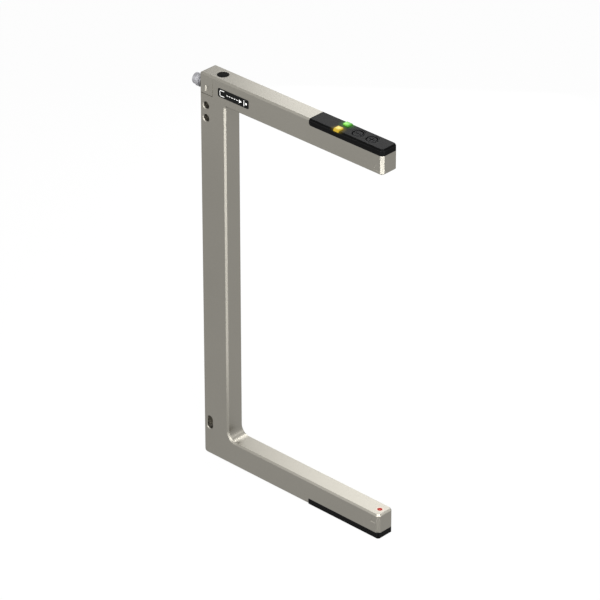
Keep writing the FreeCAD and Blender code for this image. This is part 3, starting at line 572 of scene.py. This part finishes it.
# The connector's sleeve: a turned shell with an M8 x 1 thread between its nose and its ring.
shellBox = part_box("connector_shell")
sleeve = {
    "axisHeight": (shellBox[0].z + shellBox[1].z) / 2,
    "front": shellBox[0].x, "back": shellBox[1].x,
    "bore": 0.0029, "lip": 0.00012,             # the bore's edge is broken by the lip
    "nose": 0.0035, "noseLength": 0.0022, "noseRound": 0.0003, "noseBend": 0.00009,
    "root": 0.00368, "runOut": 0.0001,          # the root slopes down to the groove
    "neck": 0.00325, "groove": 0.0012, "ringWidth": 0.0020,
    "seat": 0.00347, "seatLength": 0.007,       # the end inside the spine
    "segments": 96,
}
sleeve["spineFace"] = sleeve["back"] - sleeve["seatLength"]
sleeve["grooveFront"] = sleeve["spineFace"] - sleeve["ringWidth"] - sleeve["groove"]
thread = {
    "crest": 0.0040, "pitch": 0.001,
    "ridge": 0.0004, "sink": 0.00002,           # its radius, and how far it stays inside
    "endGap": 0.0004,                           # plain root left at both ends
    "steps": 48, "sides": 4,                    # per turn, and round the ridge
}


def latheAlongX(shape, profile, height, segments):
    # Turns a closed outline of (x, radius) round a line along X.
    rings = []
    for step in range(segments):
        turn = 2 * math.pi * step / segments
        rings.append([
            shape.verts.new((x, radius * math.cos(turn), height + radius * math.sin(turn)))
            for x, radius in profile])
    count = len(profile)
    for step in range(segments):
        ring, following = rings[step], rings[(step + 1) % segments]
        for index in range(count):
            near = (index + 1) % count
            shape.faces.new((ring[index], following[index], following[near], ring[near]))


def makeSleeve():
    s = sleeve
    noseEnd = s["front"] + s["noseLength"]
    profile = [
        (s["front"] + s["lip"], s["bore"]), (s["front"], s["bore"] + s["lip"]),
        (s["front"], s["nose"] - s["noseRound"]),
        (s["front"] + s["noseBend"], s["nose"] - s["noseBend"]),
        (s["front"] + s["noseRound"], s["nose"]), (noseEnd, s["nose"]), (noseEnd, s["root"]),
        (s["grooveFront"] - s["runOut"], s["root"]), (s["grooveFront"], s["neck"]),
        (s["spineFace"], s["neck"]), (s["spineFace"], s["seat"]), (s["back"], s["seat"]),
        (s["back"], s["bore"])]
    return meshFrom(
        lambda shape: latheAlongX(shape, profile, s["axisHeight"], s["segments"]), "sleeve")


def makeThreadTree(material):
    # A ridge wound round a line along X, swept from a spiral, with its sizes as inputs.
    tree = bpy.data.node_groups.new("screwThread", "GeometryNodeTree")
    for label in ("Radius", "Pitch", "Turns", "Ridge"):
        tree.interface.new_socket(name=label, in_out="INPUT", socket_type="NodeSocketFloat")
    tree.interface.new_socket(
        name="Geometry", in_out="OUTPUT", socket_type="NodeSocketGeometry")
    start = tree.nodes.new("NodeGroupInput")
    end = tree.nodes.new("NodeGroupOutput")
    spiral = tree.nodes.new("GeometryNodeCurveSpiral")
    spiral.inputs["Resolution"].default_value = thread["steps"]
    height = addMath(tree, "MULTIPLY", start.outputs["Pitch"], start.outputs["Turns"])
    tree.links.new(start.outputs["Turns"], spiral.inputs["Rotations"])
    tree.links.new(start.outputs["Radius"], spiral.inputs["Start Radius"])
    tree.links.new(start.outputs["Radius"], spiral.inputs["End Radius"])
    tree.links.new(height, spiral.inputs["Height"])
    normals = tree.nodes.new("GeometryNodeSetCurveNormal")
    normals.mode = "Z_UP"
    tree.links.new(spiral.outputs["Curve"], normals.inputs["Curve"])
    section = tree.nodes.new("GeometryNodeCurvePrimitiveCircle")
    section.inputs["Resolution"].default_value = thread["sides"]
    tree.links.new(start.outputs["Ridge"], section.inputs["Radius"])
    sweep = tree.nodes.new("GeometryNodeCurveToMesh")
    sweep.inputs["Fill Caps"].default_value = True
    tree.links.new(normals.outputs["Curve"], sweep.inputs["Curve"])
    tree.links.new(section.outputs["Curve"], sweep.inputs["Profile Curve"])
    real = tree.nodes.new("GeometryNodeRealizeInstances")
    paint = tree.nodes.new("GeometryNodeSetMaterial")
    paint.inputs["Material"].default_value = material
    tree.links.new(sweep.outputs["Mesh"], real.inputs[0])
    tree.links.new(real.outputs[0], paint.inputs["Geometry"])
    tree.links.new(paint.outputs["Geometry"], end.inputs["Geometry"])
    return tree


def bakeNodes(name, tree, values):
    # Runs a geometry node tree on an empty mesh and keeps its result as a plain mesh.
    carrier = bpy.data.objects.new(name + "Carrier", bpy.data.meshes.new(name + "Carrier"))
    bpy.context.scene.collection.objects.link(carrier)
    modifier = carrier.modifiers.new("nodes", "NODES")
    modifier.node_group = tree
    for socket in tree.interface.items_tree:
        if socket.in_out == "INPUT" and socket.name in values:
            modifier[socket.identifier] = values[socket.name]
    bpy.context.view_layer.update()
    shown = carrier.evaluated_get(bpy.context.evaluated_depsgraph_get())
    mesh = bpy.data.meshes.new_from_object(shown)
    bpy.data.objects.remove(carrier)
    mesh.name = name
    return mesh


sleeveNickel = newMaterial("sleeveNickel", {
    "colour": srgb(152, 152, 155), "roughness": 0.5, "metal": 1.0, "grainScale": 2600.0,
    "cloudScale": 90.0, "bump": 0.08, "toneSpread": 0.05,
    "edge": srgb(185, 186, 190), "edgeStrength": 0.4})
shell = linkPiece("connectorSleeve", makeSleeve(), sleeveNickel)
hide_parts("connector_shell")
threadLow = sleeve["front"] + sleeve["noseLength"] + thread["endGap"]
threadHigh = sleeve["grooveFront"] - thread["endGap"]
threadMesh = bakeNodes("thread", makeThreadTree(sleeveNickel), {
    "Radius": thread["crest"] - thread["ridge"] - thread["sink"], "Pitch": thread["pitch"],
    "Ridge": thread["ridge"], "Turns": (threadHigh - threadLow) / thread["pitch"]})
threadMesh.transform(Matrix.Translation((threadLow, 0, sleeve["axisHeight"]))
                     @ Matrix.Rotation(math.pi / 2, 4, "Y"))
winding = linkPiece("connectorThread", threadMesh)
print("connector ready:", len(threadMesh.polygons), "thread faces")


# A plain printed plate on the front, with a drawn fork and its light beam. What is drawn
# has its places along X and Z from the plate's middle.
plate = {
    "middle": (0.0217, 0.016),
    "length": 0.0240, "height": 0.0054, "corner": 0.0011, "thickness": 0.00012,
    "inkRise": 0.00002, "line": 0.00042, "drawnHalf": 0.0019,
    "forkBack": -0.0105, "forkTips": -0.0070,
    "dashes": 5, "dashFrom": -0.0052, "dashPitch": 0.0019, "dashLength": 0.0012,
    "arrowBack": 0.0046, "arrowTip": 0.0068, "arrowHalf": 0.0011,
    "wall": 0.0082, "dot": 0.0101, "dotSize": 0.0014, "dotCorner": 0.00068,
}


def roundedOutline(length, height, corner, steps=8):
    points = []
    right, top = length / 2 - corner, height / 2 - corner
    for centreX, centreZ, begin in (
            (right, top, 0), (-right, top, 90), (-right, -top, 180), (right, -top, 270)):
        for step in range(steps + 1):
            turn = math.radians(begin + 90 * step / steps)
            points.append((centreX + corner * math.cos(turn),
                           centreZ + corner * math.sin(turn)))
    return points


def addRaised(shape, outline, depth, x, y, z):
    # A flat shape in X and Z, with its face towards -Y and its back at y.
    back = [shape.verts.new((x + px, y, z + pz)) for px, pz in outline]
    front = [shape.verts.new((x + px, y - depth, z + pz)) for px, pz in outline]
    shape.faces.new(back)
    shape.faces.new(list(reversed(front)))
    for index in range(len(outline)):
        near = (index + 1) % len(outline)
        shape.faces.new((back[index], front[index], front[near], back[near]))


def bar(fromX, fromZ, toX, toZ):
    return [(fromX, fromZ), (toX, fromZ), (toX, toZ), (fromX, toZ)]


def plateMarks():
    p = plate
    line, half, left = p["line"], p["drawnHalf"], p["forkBack"]
    marks = [
        bar(left, -half, left + line, half), bar(left, half - line, p["forkTips"], half),
        bar(left, -half, p["forkTips"], -half + line)]
    for step in range(p["dashes"]):
        begin = p["dashFrom"] + p["dashPitch"] * step
        marks.append(bar(begin, -line / 2, begin + p["dashLength"], line / 2))
    marks.append([(p["arrowBack"], -p["arrowHalf"]), (p["arrowTip"], 0.0),
                  (p["arrowBack"], p["arrowHalf"])])
    marks.append(bar(p["wall"], -half, p["wall"] + line, half))
    return marks


def makePlate():
    x, z = plate["middle"]
    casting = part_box("upper_cover")[0].y
    face = casting - plate["thickness"]

    def buildBoard(shape):
        outline = roundedOutline(plate["length"], plate["height"], plate["corner"])
        addRaised(shape, outline, plate["thickness"], x, casting, z)

    def buildDrawing(shape):
        for mark in plateMarks():
            addRaised(shape, mark, plate["inkRise"], x, face, z)
        dot = roundedOutline(plate["dotSize"], plate["dotSize"], plate["dotCorner"])
        addRaised(shape, dot, plate["inkRise"], x + plate["dot"], face, z)

    ink = newMaterial("plateBlack", {
        "colour": srgb(10, 10, 10), "roughness": 0.35, "specular": 0.06, "grainScale": 1600.0,
        "bump": 0.06, "toneSpread": 0.2, "edge": srgb(40, 40, 40)})
    piece = linkPiece("signPlate", meshFrom(buildBoard, "plateBoard"), ink)
    paint = newMaterial("plateWhite", {
        "colour": srgb(225, 225, 222), "roughness": 0.45, "specular": 0.2, "grainScale": 2200.0,
        "bump": 0.05, "toneSpread": 0.05})
    drawn = linkPiece("signDrawing", meshFrom(buildDrawing, "signDrawing"), paint)


makePlate()
print("plate ready")
